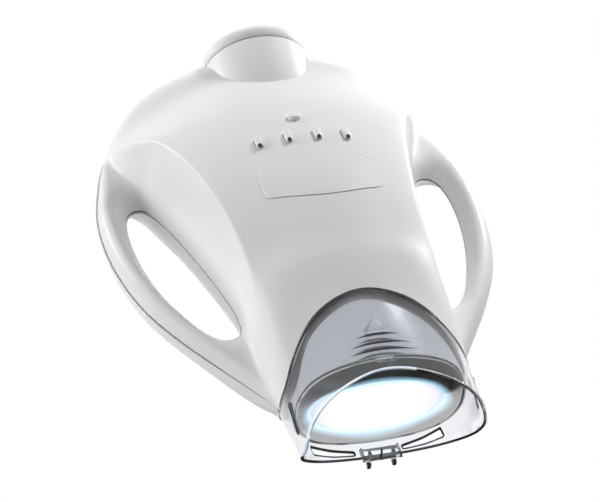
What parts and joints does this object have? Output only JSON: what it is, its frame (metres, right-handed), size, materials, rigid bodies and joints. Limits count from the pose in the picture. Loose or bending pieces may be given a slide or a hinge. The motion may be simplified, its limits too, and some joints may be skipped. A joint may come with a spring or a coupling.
{
  "type": "teeth whitening lamp head",
  "caption": "Handheld-shaped dental whitening lamp head with two moulded handle bows, keys on the crown, a clear light guide and a swivelling neck.",
  "frame": {"origin": "centre of the mouth of the arm socket in the swivel cap, on the neck's axis", "axes": "+X to the lamp's right seen from behind its front cover, -Y towards the light outlet, +Z out of the front cover; the neck's axis leans 24 degrees from +Y towards +Z"},
  "size_m": [0.2334, 0.354, 0.1163],
  "materials": {
    "front_cover": "white satin moulded ABS",
    "rear_cover": "white satin moulded ABS",
    "start_button": "white satin moulded ABS",
    "session_key_1": "white satin moulded ABS",
    "session_key_2": "white satin moulded ABS",
    "session_key_3": "white satin moulded ABS",
    "session_key_4": "white satin moulded ABS",
    "neck_tube": "white satin moulded ABS",
    "swivel_cap": "white satin moulded ABS",
    "swivel_shaft": "turned steel",
    "bush_outer": "natural bearing plastic",
    "bush_inner": "natural bearing plastic",
    "friction_washer": "matt black",
    "shaft_nut": "zinc plated steel",
    "light_guide": "clear glossy polycarbonate",
    "nose_collar": "silver metallic paint",
    "reflector": "bright vacuum metallised",
    "lens_gasket": "matt black",
    "lens": "lit diffusing lens",
    "heat_sink": "extruded",
    "led_board": "green circuit board",
    "fan_frame": "black",
    "fan_rotor": "black",
    "chassis": "sheet",
    "control_board": "green circuit board"
  },
  "bodies": {
    "arm_side": {"swivel_cap": "swivel_cap", "swivel_shaft": "swivel_shaft", "shaft_nut": "shaft_nut", "friction_washer": "friction_washer"},
    "head": {"front_cover": "front_cover", "rear_cover": "rear_cover", "neck_tube": "neck_tube", "bush_outer": "bush_outer", "bush_inner": "bush_inner", "nose_collar": "nose_collar", "reflector": "reflector", "lens_gasket": "lens_gasket", "lens": "lens", "heat_sink": "heat_sink", "led_board": "led_board", "fan_frame": "fan_frame", "chassis": "chassis", "control_board": "control_board"},
    "guide": {"light_guide": "light_guide"},
    "fan": {"fan_rotor": "fan_rotor"},
    "start_button_body": {"start_button": "start_button"},
    "session_key_1_body": {"session_key_1": "session_key_1"},
    "session_key_2_body": {"session_key_2": "session_key_2"},
    "session_key_3_body": {"session_key_3": "session_key_3"},
    "session_key_4_body": {"session_key_4": "session_key_4"}
  },
  "joints": [
    {"name": "head_swivel", "type": "hinge", "parent": "arm_side", "child": "head", "pos_m": [0, 0, 0], "axis": [0, 0.9135, 0.4067], "range_deg": [-90, 90]},
    {"name": "guide_pull", "type": "slide", "parent": "head", "child": "guide", "axis": [0, -1, 0], "range_m": [0, 0.05]},
    {"name": "fan_spin", "type": "hinge", "parent": "head", "child": "fan", "pos_m": [0, -0.21806, -0.04088], "axis": [0, 1, 0], "continuous": true},
    {"name": "start_press", "type": "slide", "parent": "head", "child": "start_button_body", "axis": [0, 0, -1], "range_m": [0, 0.001], "stiffness_N_per_m": 800, "springref_m": -0.0002},
    {"name": "key_press_1", "type": "slide", "parent": "head", "child": "session_key_1_body", "axis": [0.1566, 0, -0.9877], "range_m": [0, 0.001], "stiffness_N_per_m": 800, "springref_m": -0.0002},
    {"name": "key_press_2", "type": "slide", "parent": "head", "child": "session_key_2_body", "axis": [0.0542, 0, -0.9985], "range_m": [0, 0.001], "stiffness_N_per_m": 800, "springref_m": -0.0002},
    {"name": "key_press_3", "type": "slide", "parent": "head", "child": "session_key_3_body", "axis": [-0.0542, 0, -0.9985], "range_m": [0, 0.001], "stiffness_N_per_m": 800, "springref_m": -0.0002},
    {"name": "key_press_4", "type": "slide", "parent": "head", "child": "session_key_4_body", "axis": [-0.1566, 0, -0.9877], "range_m": [0, 0.001], "stiffness_N_per_m": 800, "springref_m": -0.0002}
  ]
}
